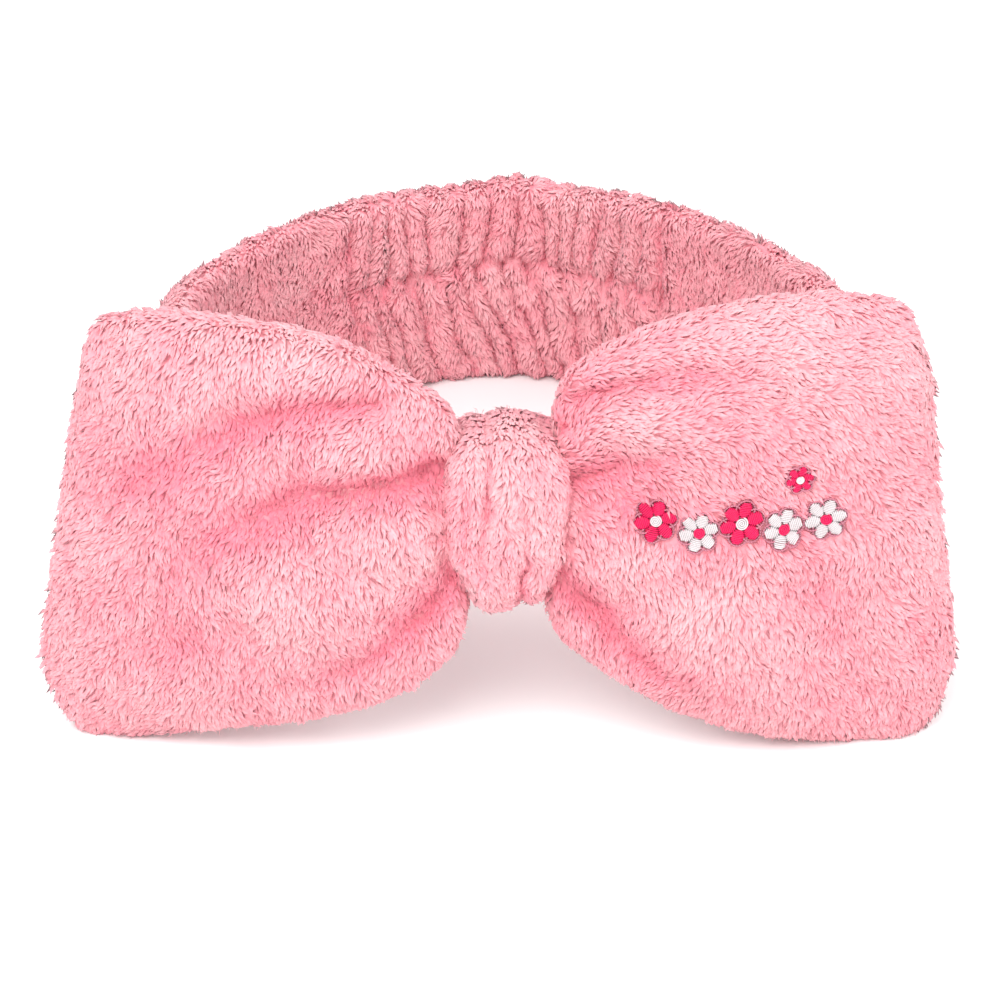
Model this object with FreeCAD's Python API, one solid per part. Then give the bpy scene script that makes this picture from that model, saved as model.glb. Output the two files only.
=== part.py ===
import FreeCAD, Part
import math
import os

# Spa headband: a closed fleece band with a gathered elastic rear section and a
# large fleece bow held on its front by a knot wrap.
# Millimetres. +Z up, the bow faces -Y, +X is to the right of someone looking at the bow.
# The model is laid out in the band's own frame (band axis along Z), then tipped back
# by TILT so that the lower edges of both wings and the bottom of the rear section
# stand on one flat surface, as the object rests on a table.

# ---------------------------------------------------------------- driving sizes
TILT = 8.45                  # degrees: the bow is taller than the band, so the band slopes down to the rear
REST_CUT = 0.45              # how much the soft lower edges flatten where they rest

# band, plan view: outer outline as a polar curve about (0, PLAN_YC), angle from the rear (+Y)
PLAN_YC = 8.0
PLAN = (89.5, -4.1, 4.6, 5.2, -0.3)
BAND_H = 57.0                # width of the band (height as it stands)
BAND_H_KNOT = 31.0           # the band is pinched to this under the knot
BAND_T = 8.6                 # thickness of the soft tube at the front and sides
BAND_T_REAR = 11.0           # thickness of the gathered rear section
BAND_T_KNOT = 5.6            # thickness where the knot squeezes it
FLEECE = 2.6                 # one layer of fleece, pile included
SEAM_DEG = 35.0              # plan angle of the two join seams from the rear centre line
BODY_GAP = 0.3               # clearance between pieces that move apart

ELASTIC_W = 30.0             # woven elastic, width
ELASTIC_T = 1.3              # woven elastic, thickness

# bow
BOW_Y = -95.0                # mid plane of the bow at the knot
BOW_WRAP = 10.0              # the wing tips fall back by this
BACK_FLAT = 0.66             # the back layer bulges this much of the front layer's bulge
ROWS_BETWEEN = 3             # sections added between two rows of the wing tables
HINGE_X = 12.0               # the wings flex about upright lines at the sides of the knot
NECK_R = 7.0                 # radius of the rounded neck end
# each wing: (upper x, upper z, lower x, lower z, thickness) from the neck to the tip
LEFT_WING = (
    (15.8, 20.0, 15.8, -16.5, 15.6),
    (19.0, 29.5, 18.5, -32.0, 17.0),
    (27.0, 38.0, 27.0, -42.5, 22.5),
    (40.0, 45.0, 41.0, -47.5, 27.5),
    (58.0, 48.5, 60.0, -51.0, 28.0),
    (76.0, 49.8, 82.0, -54.5, 24.5),
    (89.0, 48.0, 98.0, -56.3, 17.0),
    (93.0, 42.0, 105.5, -49.0, 10.5),
    (95.2, 34.0, 108.6, -39.0, 5.0),
)
RIGHT_WING = (
    (15.8, 20.0, 15.8, -16.5, 15.6),
    (18.5, 36.0, 19.5, -29.0, 17.0),
    (27.0, 44.5, 28.0, -38.5, 22.5),
    (40.0, 49.8, 41.0, -46.8, 27.5),
    (57.0, 53.2, 60.0, -53.5, 28.0),
    (74.0, 54.0, 81.0, -56.3, 24.5),
    (87.5, 50.8, 95.5, -56.3, 17.0),
    (91.5, 44.0, 101.5, -50.0, 10.5),
    (94.0, 36.0, 104.6, -39.0, 5.0),
)

# knot wrap: a fleece loop round the bow's middle and the front of the band
KNOT_W = 26.0
KNOT_Z = (-19.0, 24.5)
KNOT_Y = (-107.0, -74.6)
KNOT_T = 3.4

# embroidery on the right wing: a row of small round-petalled flowers
FLOWERS = (                  # x, z, petal-ring radius, petal radius, colour
    (33.4, 5.0, 2.9, 1.75, "pink"),
    (43.0, 2.8, 2.8, 1.7, "white"),
    (52.6, 4.6, 3.1, 1.85, "pink"),
    (62.2, 2.6, 2.8, 1.7, "white"),
    (71.8, 4.2, 2.9, 1.75, "white"),
    (65.6, 13.8, 1.9, 1.15, "pink"),
)
PETALS = 6
THREAD_T = 1.2               # height of the satin stitching, half of it sunk in the pile

V = FreeCAD.Vector
os.makedirs("parts", exist_ok=True)


# ---------------------------------------------------------------- helpers
def plan_point(a):
    """Outer plan outline at angle a (radians, from the rear towards +X)."""
    r = sum(c * math.cos(k * a) for k, c in enumerate(PLAN))
    return r * math.sin(a), PLAN_YC + r * math.cos(a)


def plan_frame(a):
    """Point, tangent and inward normal of the plan outline at angle a."""
    x, y = plan_point(a)
    x1, y1 = plan_point(a + 1e-4)
    x0, y0 = plan_point(a - 1e-4)
    tx, ty = x1 - x0, y1 - y0
    n = math.hypot(tx, ty)
    tx, ty = tx / n, ty / n
    return (x, y), (tx, ty), (ty, -tx)


def smooth(x, lo, hi):
    t = min(1.0, max(0.0, (x - lo) / (hi - lo)))
    return t * t * (3 - 2 * t)


def band_height(a):
    """Band width along its length: full at the rear and sides, pinched under the knot."""
    d = abs(math.pi - abs(a))            # angle from the knot
    return BAND_H_KNOT + (BAND_H - BAND_H_KNOT) * smooth(d, 0.16, 0.75)


def band_mid_z(a):
    d = abs(math.pi - abs(a))
    return 2.6 * (1 - smooth(d, 0.16, 0.75))


def band_thick(a):
    d = abs(math.pi - abs(a))
    t = BAND_T_KNOT + (BAND_T - BAND_T_KNOT) * smooth(d, 0.14, 0.5)
    return t + (BAND_T_REAR - BAND_T) * (1 - smooth(abs(a), math.radians(SEAM_DEG - 8), math.radians(SEAM_DEG + 10)))


def band_section(a, d0, d1, z0, z1, round_ends=True):
    """Closed wire in the upright plane at plan angle a, from depth d0 to d1 inward, z0 to z1."""
    (x, y), _, (nx, ny) = plan_frame(a)

    def at(d, z):
        return V(x + nx * d, y + ny * d, z)

    if not round_ends:
        pts = [at(d0, z0), at(d1, z0), at(d1, z1), at(d0, z1)]
        return Part.makePolygon(pts + [pts[0]])
    r = (d1 - d0) / 2.0
    m = (d0 + d1) / 2.0
    lo, hi = z0 + r, z1 - r
    e = [
        Part.LineSegment(at(d1, lo), at(d1, hi)).toShape(),
        Part.Arc(at(d1, hi), at(m, z1), at(d0, hi)).toShape(),
        Part.LineSegment(at(d0, hi), at(d0, lo)).toShape(),
        Part.Arc(at(d0, lo), at(m, z0), at(d1, lo)).toShape(),
    ]
    return Part.Wire(e)


def band_loft(a0, a1, n, fn, round_ends=True):
    """Loft round the band between plan angles; fn(a) gives d0, d1, z0, z1."""
    wires = []
    for i in range(n + 1):
        a = a0 + (a1 - a0) * i / n
        wires.append(band_section(a, *fn(a), round_ends=round_ends))
    return Part.makeLoft(wires, True, False)


def mid_y(x):
    return BOW_Y + BOW_WRAP * (abs(x) / 105.0) ** 2


def bulge(k, last):
    """Share of the back bulge at row k: full at the pleated neck, flatter along the wing."""
    return 1.0 - (1.0 - BACK_FLAT) * smooth(k, 0.6, 2.0)


def fine_rows(table):
    """The wing table with rows added in between: (upper x, upper z, lower x, lower z, thickness, row number)."""
    out = []
    n = len(table)
    for i in range(n - 1):
        p0, p1, p2, p3 = table[max(0, i - 1)], table[i], table[i + 1], table[min(n - 1, i + 2)]
        for j in range(ROWS_BETWEEN):
            f = j / float(ROWS_BETWEEN)
            row = [0.5 * (2 * p1[k] + (p2[k] - p0[k]) * f + (2 * p0[k] - 5 * p1[k] + 4 * p2[k] - p3[k]) * f * f
                          + (3 * p1[k] - p0[k] - 3 * p2[k] + p3[k]) * f ** 3) for k in range(5)]
            out.append(tuple(row) + (i + f,))
    out.append(tuple(table[-1]) + (float(n - 1),))
    return out


def layer_gap(k, t, last):
    """Half the hollow between the two layers: closed at the neck and at the outer edge."""
    full = max(0.15, t / 2.0 - FLEECE)
    return 0.15 + (full - 0.15) * smooth(k, 1.0, 2.0) * (1 - smooth(k, last - 2.0, last - 1.0))


def section_arc(row, side, face, hh, ht, pts_n=15, lift=0.02):
    """Half section of a wing from its upper to its lower edge, bulging towards face."""
    xt, zt, xb, zb = row[:4]
    cx, cz = (xt + xb) / 2.0, (zt + zb) / 2.0
    hx, hz_ = (xt - xb) / 2.0, (zt - zb) / 2.0
    half = math.hypot(hx, hz_)
    ux, uz = hx / half, hz_ / half
    pts = []
    for i in range(pts_n):
        f = math.pi * i / (pts_n - 1.0)
        c, q = math.cos(f), math.sin(f)
        cu = math.copysign(abs(c) ** 0.72, c) * hh
        cs = (max(0.0, q) ** 0.9) * ht + lift
        x = cx + ux * cu
        pts.append(V(side * x, mid_y(x) + face * cs, cz + uz * cu))
    return pts


def row_half(row):
    return math.hypot((row[0] - row[2]) / 2.0, (row[1] - row[3]) / 2.0)


def layer_solid(table, side, face, d0, d1, k0=0.0, k1=99.0, lift=0.02):
    """One curved layer of a wing between depths d0 and d1 under its outer face."""
    rows = [r for r in fine_rows(table) if k0 <= r[5] <= k1]
    last = float(len(table) - 1)
    wires = []
    for r in rows:
        share = 1.0 if face < 0 else bulge(r[5], last)
        gap = layer_gap(r[5], r[4], last)
        full = r[4] / 2.0

        def depth(d):
            # the depth runs from the outer face (0) to the hollow (FLEECE), then on into the hollow
            if d <= FLEECE:
                return full + (gap - full) * d / FLEECE
            return max(0.1, gap - (d - FLEECE))

        o = section_arc(r, side, face, row_half(r) - d0, share * depth(d0), lift=lift)
        n = section_arc(r, side, face, row_half(r) - d1, share * depth(d1), lift=lift)
        n.reverse()
        co, cn = Part.BSplineCurve(), Part.BSplineCurve()
        co.interpolate(o)
        cn.interpolate(n)
        wires.append(Part.Wire([
            co.toShape(),
            Part.LineSegment(o[-1], n[0]).toShape(),
            cn.toShape(),
            Part.LineSegment(n[-1], o[0]).toShape(),
        ]))
    s = Part.makeLoft(wires, True, True)
    if s.Volume < 0:
        s.reverse()
    return s


def oval_wire(x, y0, y1, z0, z1, r):
    """Rounded rectangle in a plane of constant x."""
    k = r * (1 - math.sqrt(0.5))
    e = [
        Part.LineSegment(V(x, y0 + r, z0), V(x, y1 - r, z0)).toShape(),
        Part.Arc(V(x, y1 - r, z0), V(x, y1 - k, z0 + k), V(x, y1, z0 + r)).toShape(),
        Part.LineSegment(V(x, y1, z0 + r), V(x, y1, z1 - r)).toShape(),
        Part.Arc(V(x, y1, z1 - r), V(x, y1 - k, z1 - k), V(x, y1 - r, z1)).toShape(),
        Part.LineSegment(V(x, y1 - r, z1), V(x, y0 + r, z1)).toShape(),
        Part.Arc(V(x, y0 + r, z1), V(x, y0 + k, z1 - k), V(x, y0, z1 - r)).toShape(),
        Part.LineSegment(V(x, y0, z1 - r), V(x, y0, z0 + r)).toShape(),
        Part.Arc(V(x, y0, z0 + r), V(x, y0 + k, z0 + k), V(x, y0 + r, z0)).toShape(),
    ]
    return Part.Wire(e)


def oval_prism(x0, x1, y0, y1, z0, z1, r):
    return Part.Face(oval_wire(x0, y0, y1, z0, z1, r)).extrude(V(x1 - x0, 0, 0))


nodes = {}
PI = math.pi
SEAM = math.radians(SEAM_DEG)
GAP_A = BODY_GAP / 95.0        # the body gap as a plan angle, half on each side of the seam

# ---------------------------------------------------------------- band
hz = lambda a: (band_mid_z(a) - band_height(a) / 2.0, band_mid_z(a) + band_height(a) / 2.0)


def outer(a):
    return (0.0, band_thick(a), hz(a)[0], hz(a)[1])


def cavity(a):
    return (FLEECE, max(FLEECE + 0.8, band_thick(a) - FLEECE), hz(a)[0] + FLEECE + 0.4, hz(a)[1] - FLEECE - 0.4)


# smooth sleeve: from the left seam round behind the bow to the right seam
f0, f1 = SEAM + GAP_A, 2 * PI - SEAM - GAP_A
wrap = lambda a: a if a <= PI else a - 2 * PI
front_outer = band_loft(f0, f1, 30, lambda a: outer(wrap(a)))
front_cavity = band_loft(f0 - 0.004, f1 + 0.004, 30, lambda a: cavity(wrap(a)))
nodes["band_front_sleeve"] = front_outer.cut(front_cavity)

# gathered sleeve round the rear
r1 = SEAM - GAP_A
rear_outer = band_loft(-r1, r1, 12, outer)
rear_cavity = band_loft(-r1 - 0.004, r1 + 0.004, 12, cavity)
nodes["band_rear_sleeve"] = rear_outer.cut(rear_cavity)


# woven elastic, flat against the middle of the gathered sleeve's hollow
def elastic(a):
    m = band_thick(a) / 2.0
    return (m - ELASTIC_T / 2, m + ELASTIC_T / 2, -ELASTIC_W / 2, ELASTIC_W / 2)


nodes["elastic_strap"] = band_loft(-r1 + 0.006, r1 - 0.006, 12, elastic, round_ends=False)


# bar tacks: three short stitches through both fleece layers at each end of the elastic
def bar_tacks(a):
    (x, y), _, (nx, ny) = plan_frame(a)
    t = band_thick(a)
    out = []
    for z in (-9.0, 0.0, 9.0):
        out.append(Part.makeCylinder(0.45, t - 1.2, V(x + nx * 0.6, y + ny * 0.6, z), V(nx, ny, 0)))
    return Part.makeCompound(out)


nodes["elastic_stitches_right"] = bar_tacks(r1 - 0.055)
nodes["elastic_stitches_left"] = bar_tacks(-r1 + 0.055)


# join seams: a line of overlock thread round the tube where the two sleeves meet
def join_seam(a0, a1):
    o = band_loft(a0, a1, 2, lambda a: (-0.35, band_thick(a) + 0.35, hz(a)[0] - 0.0, hz(a)[1] + 0.35))
    i = band_loft(a0 - 0.003, a1 + 0.003, 2, lambda a: (0.35, band_thick(a) - 0.35, hz(a)[0] + 0.7, hz(a)[1] - 0.35))
    return o.cut(i)


nodes["join_seam_right"] = join_seam(r1 - 0.020, r1 - 0.004)
nodes["join_seam_left"] = join_seam(-r1 + 0.004, -r1 + 0.020)


# lengthwise seam on the inner face
def long_seam(a):
    t = band_thick(a)
    return (t - 0.5, t + 0.4, 4.0, 5.0)


nodes["rear_lengthwise_seam"] = band_loft(-r1 + 0.03, r1 - 0.03, 12, long_seam, round_ends=False)
g = 0.30
seam_l = band_loft(SEAM + 0.02, PI - g, 12, long_seam, round_ends=False)
seam_r = band_loft(-PI + g, -SEAM - 0.02, 12, long_seam, round_ends=False)
nodes["front_lengthwise_seam"] = Part.makeCompound([seam_l, seam_r])

# ---------------------------------------------------------------- bow
def rim_path(table, side):
    """Points round the wing's edge with their outward directions, from the upper neck to the lower neck."""
    rows = table[2:]
    top = [(r[0], r[1]) for r in rows]
    low = [(r[2], r[3]) for r in rows]
    tip = [(top[-1][0] + (low[-1][0] - top[-1][0]) * f, top[-1][1] + (low[-1][1] - top[-1][1]) * f)
           for f in (0.2, 0.4, 0.6, 0.8)]
    pts = top + tip + low[::-1]
    fine = []
    for i in range(len(pts) - 1):
        p0, p1, p2, p3 = pts[max(0, i - 1)], pts[i], pts[i + 1], pts[min(len(pts) - 1, i + 2)]
        for j in range(3):
            f = j / 3.0
            fine.append(tuple(
                0.5 * (2 * p1[k] + (p2[k] - p0[k]) * f + (2 * p0[k] - 5 * p1[k] + 4 * p2[k] - p3[k]) * f * f
                       + (3 * p1[k] - p0[k] - 3 * p2[k] + p3[k]) * f ** 3) for k in range(2)))
    fine.append(pts[-1])
    pts = fine
    out = []
    for i, (x, z) in enumerate(pts):
        x0, z0 = pts[max(0, i - 1)]
        x1, z1 = pts[min(len(pts) - 1, i + 1)]
        tx, tz = x1 - x0, z1 - z0
        n = math.hypot(tx, tz)
        out.append((x, z, -tz / n, tx / n))
    return out


for name, table, side in (("left", LEFT_WING, -1), ("right", RIGHT_WING, 1)):
    pocket = Part.makeCylinder(NECK_R, 200, V(side * HINGE_X, BOW_Y, -100), V(0, 0, 1))
    for label, face in (("front", -1), ("back", 1)):
        nodes["bow_" + label + "_panel_" + name] = layer_solid(table, side, face, 0.0, FLEECE).cut(pocket)
    # edge seam: a thread line round the wing where the two panels are sewn together
    wires = []
    for x, z, nx, nz in rim_path(table, side):
        y = mid_y(x)
        q = [V(side * (x + nx * d), y + e, z + nz * d) for d, e in ((-0.35, -0.45), (0.45, -0.45), (0.45, 0.45), (-0.35, 0.45))]
        wires.append(Part.makePolygon(q + [q[0]]))
    seam = Part.makeLoft(wires, True, True)
    if seam.Volume < 0:
        seam.reverse()
    nodes["bow_edge_seam_" + name] = seam

# pinched middle of the bow, inside the knot, with rounded ends that the necks turn on
core = oval_prism(-HINGE_X, HINGE_X, BOW_Y - 7.6, BOW_Y + 7.6, -14.6, 20.0, 6.0)
waist = oval_prism(-3.4, 3.4, BOW_Y - 12, BOW_Y + 12, -20, 26, 6.0).cut(
    oval_prism(-3.4, 3.4, BOW_Y - 6.4, BOW_Y + 6.4, -13.4, 18.8, 5.2))
core = core.cut(waist)
for side in (-1, 1):
    core = core.fuse(Part.makeCylinder(NECK_R - BODY_GAP, 32.6, V(side * HINGE_X, BOW_Y, -13.6), V(0, 0, 1)))
nodes["bow_pinched_core"] = core.removeSplitter()

# gathering thread: four turns round the waist of the core
turns = []
for i in range(4):
    x = -2.6 + i * 1.4
    o = oval_prism(x, x + 0.9, BOW_Y - 7.2, BOW_Y + 7.2, -14.2, 19.6, 5.6)
    n = oval_prism(x - 0.2, x + 1.1, BOW_Y - 6.4, BOW_Y + 6.4, -13.4, 18.8, 5.2)
    turns.append(o.cut(n))
nodes["bow_gathering_thread"] = Part.makeCompound(turns)

# ---------------------------------------------------------------- knot wrap
ky0, ky1 = KNOT_Y
kz0, kz1 = KNOT_Z
loop = oval_prism(-KNOT_W / 2, KNOT_W / 2, ky0, ky1, kz0, kz1, 9.0)
loop = loop.makeFillet(1.6, [e for e in loop.Edges if abs(abs(e.CenterOfMass.x) - KNOT_W / 2) < 1e-3])
void = oval_prism(-KNOT_W / 2 - 1, KNOT_W / 2 + 1, ky0 + KNOT_T, ky1 - KNOT_T, kz0 + KNOT_T, kz1 - KNOT_T, 4.6)
nodes["knot_wrap"] = loop.cut(void)

stitches = []
for i in range(6):
    z = -9.0 + i * 4.6
    s = Part.makeBox(3.4, 0.9, 0.9, V(-1.7, ky1 - 0.45, z))
    s.rotate(V(0, ky1, z), V(0, 1, 0), 24)
    stitches.append(s)
nodes["knot_closing_stitches"] = Part.makeCompound(stitches)


# ---------------------------------------------------------------- embroidery
def right_front_y(x, z):
    """Front surface of the right wing, read from its sections."""
    best = None
    rows = RIGHT_WING
    for a, b in zip(rows[:-1], rows[1:]):
        for i in range(21):
            f = i / 20.0
            xt, zt, xb, zb, t = [a[k] + (b[k] - a[k]) * f for k in range(5)]
            v = (z - zb) / (zt - zb)
            xx = xb + (xt - xb) * v
            d = abs(xx - x)
            if best is None or d < best[0]:
                c = min(1.0, abs(2 * v - 1)) ** (1 / 0.72)
                s = math.sqrt(max(0.0, 1 - c * c)) ** 0.9
                best = (d, mid_y(x) - s * t / 2.0)
    return best[1]


def flower_solids(x, z, ring, r, grow, depth0, depth1):
    """Six round petals and a centre as one flat pad lying on the wing's surface."""
    y = right_front_y(x, z)
    e = 3.0
    nx = (right_front_y(x + e, z) - right_front_y(x - e, z)) / (2 * e)
    nz = (right_front_y(x, z + e) - right_front_y(x, z - e)) / (2 * e)
    n = V(-nx, 1.0, -nz)
    n.normalize()
    pad = None
    ux = V(1, nx, 0)
    ux.normalize()
    uz = n.cross(ux)
    if uz.z < 0:
        uz = uz * -1.0
    base = V(x, y, z) + n * depth0
    for k in range(PETALS):
        f = 2 * math.pi * (k + 0.25) / PETALS
        c = base + ux * (ring * math.cos(f)) + uz * (ring * math.sin(f))
        p = Part.makeCylinder(r + grow, depth1 - depth0, c, n)
        pad = p if pad is None else pad.fuse(p)
    pad = pad.fuse(Part.makeCylinder(ring + grow * 0.5, depth1 - depth0, base, n))
    return pad.removeSplitter()


groups = {"pink": [], "white": []}
outline, centres = [], []
for x, z, ring, r, colour in FLOWERS:
    pad = flower_solids(x, z, ring, r, 0.0, -THREAD_T / 2, THREAD_T / 2)
    wide = flower_solids(x, z, ring, r, 0.55, -THREAD_T / 2, THREAD_T / 2 - 0.3)
    groups[colour].append(pad)
    outline.append(wide.cut(pad))
nodes["embroidery_pink_flowers"] = Part.makeCompound(groups["pink"])
nodes["embroidery_white_flowers"] = Part.makeCompound(groups["white"])
nodes["embroidery_outline"] = Part.makeCompound(outline)

# stabiliser: a thin sheet inside the wing, behind the stitching
layer = layer_solid(RIGHT_WING, 1, -1, FLEECE + 0.2, FLEECE + 0.8, 2.0, 6.0)
window = Part.makeBox(54, 60, 26, V(25.5, BOW_Y - 58, -8))
nodes["embroidery_backing"] = layer.common(window)

# ---------------------------------------------------------------- stand it on its rest surface
tilted = {}
for n, s in nodes.items():
    c = s.copy()
    c.rotate(V(0, 0, 0), V(1, 0, 0), -TILT)
    tilted[n] = c
low = {n: s.optimalBoundingBox(True, False).ZMin for n, s in tilted.items()
       if n in ("bow_front_panel_left", "bow_front_panel_right", "bow_back_panel_left", "bow_back_panel_right",
                "band_rear_sleeve", "band_front_sleeve")}
print("lowest points", {k: round(v, 2) for k, v in low.items()})
floor_z = max(min(low["bow_front_panel_left"], low["bow_back_panel_left"]),
              min(low["bow_front_panel_right"], low["bow_back_panel_right"]),
              low["band_rear_sleeve"]) + REST_CUT
under = Part.makeBox(600, 600, 100, V(-300, -300, floor_z - 100))
box = None
final = {}
for n, s in tilted.items():
    if s.BoundBox.ZMin < floor_z:
        s = s.cut(under)
    final[n] = s
    b = s.optimalBoundingBox(True, False)
    box = b if box is None else box.united(b)
dx, dy, dz = -(box.XMin + box.XMax) / 2.0, -(box.YMin + box.YMax) / 2.0, -floor_z
print("shift", round(dx, 3), round(dy, 3), round(dz, 3))
print("size", round(box.XLength, 2), round(box.YLength, 2), round(box.ZMax - floor_z, 2))
for n in sorted(final):
    s = final[n]
    s.translate(V(dx, dy, dz))
    sol = s.Solids
    print("%-26s solids %d volume %8.1f valid %s  z %.2f..%.2f" % (
        n, len(sol), sum(x.Volume for x in sol), s.isValid(), s.BoundBox.ZMin, s.BoundBox.ZMax))
    if len(sol) == 1:
        s = sol[0]
    else:
        s = Part.makeCompound(sol)
    s.exportStep("parts/" + n + ".step")
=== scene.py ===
import math

import bpy
import numpy as np
from mathutils import Matrix, Vector


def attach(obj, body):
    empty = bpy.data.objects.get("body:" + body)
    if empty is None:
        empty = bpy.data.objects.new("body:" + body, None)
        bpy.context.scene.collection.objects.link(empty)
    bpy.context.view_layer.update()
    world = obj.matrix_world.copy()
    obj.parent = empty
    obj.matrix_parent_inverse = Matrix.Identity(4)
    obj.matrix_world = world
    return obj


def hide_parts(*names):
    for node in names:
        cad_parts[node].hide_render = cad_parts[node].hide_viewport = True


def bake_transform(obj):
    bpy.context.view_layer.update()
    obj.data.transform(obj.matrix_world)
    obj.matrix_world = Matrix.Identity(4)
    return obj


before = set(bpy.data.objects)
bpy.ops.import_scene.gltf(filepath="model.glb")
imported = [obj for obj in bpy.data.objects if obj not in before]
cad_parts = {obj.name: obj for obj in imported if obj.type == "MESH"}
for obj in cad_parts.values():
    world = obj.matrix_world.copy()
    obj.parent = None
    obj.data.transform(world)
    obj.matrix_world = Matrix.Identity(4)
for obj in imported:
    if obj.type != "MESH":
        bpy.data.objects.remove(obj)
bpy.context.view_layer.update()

# ------------------------------------------------------------------ frame
# The shapes below are laid out in millimetres in the band's own frame (band axis along Z) and
# then tipped back and shifted as in part.py.
TILT = math.radians(8.45)
SHIFT = np.array([2.0, 1.783, 42.113])
CT, ST = math.cos(TILT), math.sin(TILT)


def row(P):
    """Band frame in mm to row frame in metres."""
    P = np.asarray(P, float)
    x, y, z = P[..., 0], P[..., 1], P[..., 2]
    return (np.stack([x, y * CT + z * ST, -y * ST + z * CT], -1) + SHIFT) * 1e-3


def turn(D):
    D = np.asarray(D, float)
    x, y, z = D[..., 0], D[..., 1], D[..., 2]
    return np.stack([x, y * CT + z * ST, -y * ST + z * CT], -1)


def unit(a):
    return a / np.maximum(np.linalg.norm(a, axis=-1, keepdims=True), 1e-9)


def smooth(x, lo, hi):
    t = np.clip((np.asarray(x, float) - lo) / (hi - lo), 0, 1)
    return t * t * (3 - 2 * t)


class Waves:
    """Smooth deterministic noise of about unit size: a sum of sine waves of about one length."""

    def __init__(self, seed, length, n=16):
        r = np.random.default_rng(seed)
        d = unit(r.normal(size=(n, 3)))
        self.k = d * (2 * math.pi / length * r.uniform(0.55, 1.6, n))[:, None]
        self.p = r.uniform(0, 2 * math.pi, n)
        self.a = math.sqrt(2.0 / n)

    def __call__(self, P):
        return self.a * np.sin(np.asarray(P) @ self.k.T + self.p).sum(-1)


SOFT = 0.30  # how much of its own roundness a tuft shows on top of the fabric's shading
PILE_BASE = 1.15  # the knitted base lies this far under the pile's surface

# ------------------------------------------------------------------ band shape
PLAN_YC = 8.0
PLAN = (89.5, -4.1, 4.6, 5.2, -0.3)
BAND_H, BAND_H_KNOT = 57.0, 31.0
BAND_T, BAND_T_REAR, BAND_T_KNOT = 8.6, 11.0, 5.6
SEAM = math.radians(35.0)


def plan(a):
    r = sum(c * np.cos(k * a) for k, c in enumerate(PLAN))
    return np.stack([r * np.sin(a), PLAN_YC + r * np.cos(a)], -1)


def plan_frame(a):
    p = plan(a)
    t = unit(plan(a + 1e-4) - plan(a - 1e-4))
    n = np.stack([t[..., 1], -t[..., 0]], -1)
    return p, t, n


_a = np.linspace(-math.pi, math.pi, 4001)
_p = plan(_a)
_s = np.concatenate([[0], np.cumsum(np.hypot(*np.diff(_p, axis=0).T))])
_s -= np.interp(0.0, _a, _s)


def arc_of(a):
    """Length along the outer outline from the rear centre."""
    return np.interp(a, _a, _s)


def band_dims(a):
    d = np.abs(math.pi - np.abs(a))
    h = BAND_H_KNOT + (BAND_H - BAND_H_KNOT) * smooth(d, 0.16, 0.75)
    zc = 2.6 * (1 - smooth(d, 0.16, 0.75))
    t = BAND_T_KNOT + (BAND_T - BAND_T_KNOT) * smooth(d, 0.14, 0.5)
    t = t + (BAND_T_REAR - BAND_T) * (1 - smooth(np.abs(a), math.radians(27), math.radians(45)))
    return h, zc, t


_r = np.random.default_rng(77)
_gather = np.cumsum(_r.uniform(5.5, 11.5, 60))
_gather -= _gather[30]
_gather2 = np.cumsum(_r.uniform(5.0, 10.5, 60))
_gather2 -= _gather2[29] - 3.0
_gather3 = np.cumsum(_r.uniform(5.0, 10.5, 60))
_gather3 -= _gather3[31]


def gathers(s, marks, sharp=0.55):
    """0 on the crests, 1 in the narrow valleys that the marks name."""
    ph = np.interp(s, marks, np.arange(len(marks)))
    return 1 - np.abs(np.sin(math.pi * ph)) ** sharp


W_SIDE = Waves(5, 46)
W_SIDE2 = Waves(6, 17)
W_G = Waves(7, 22)


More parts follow.
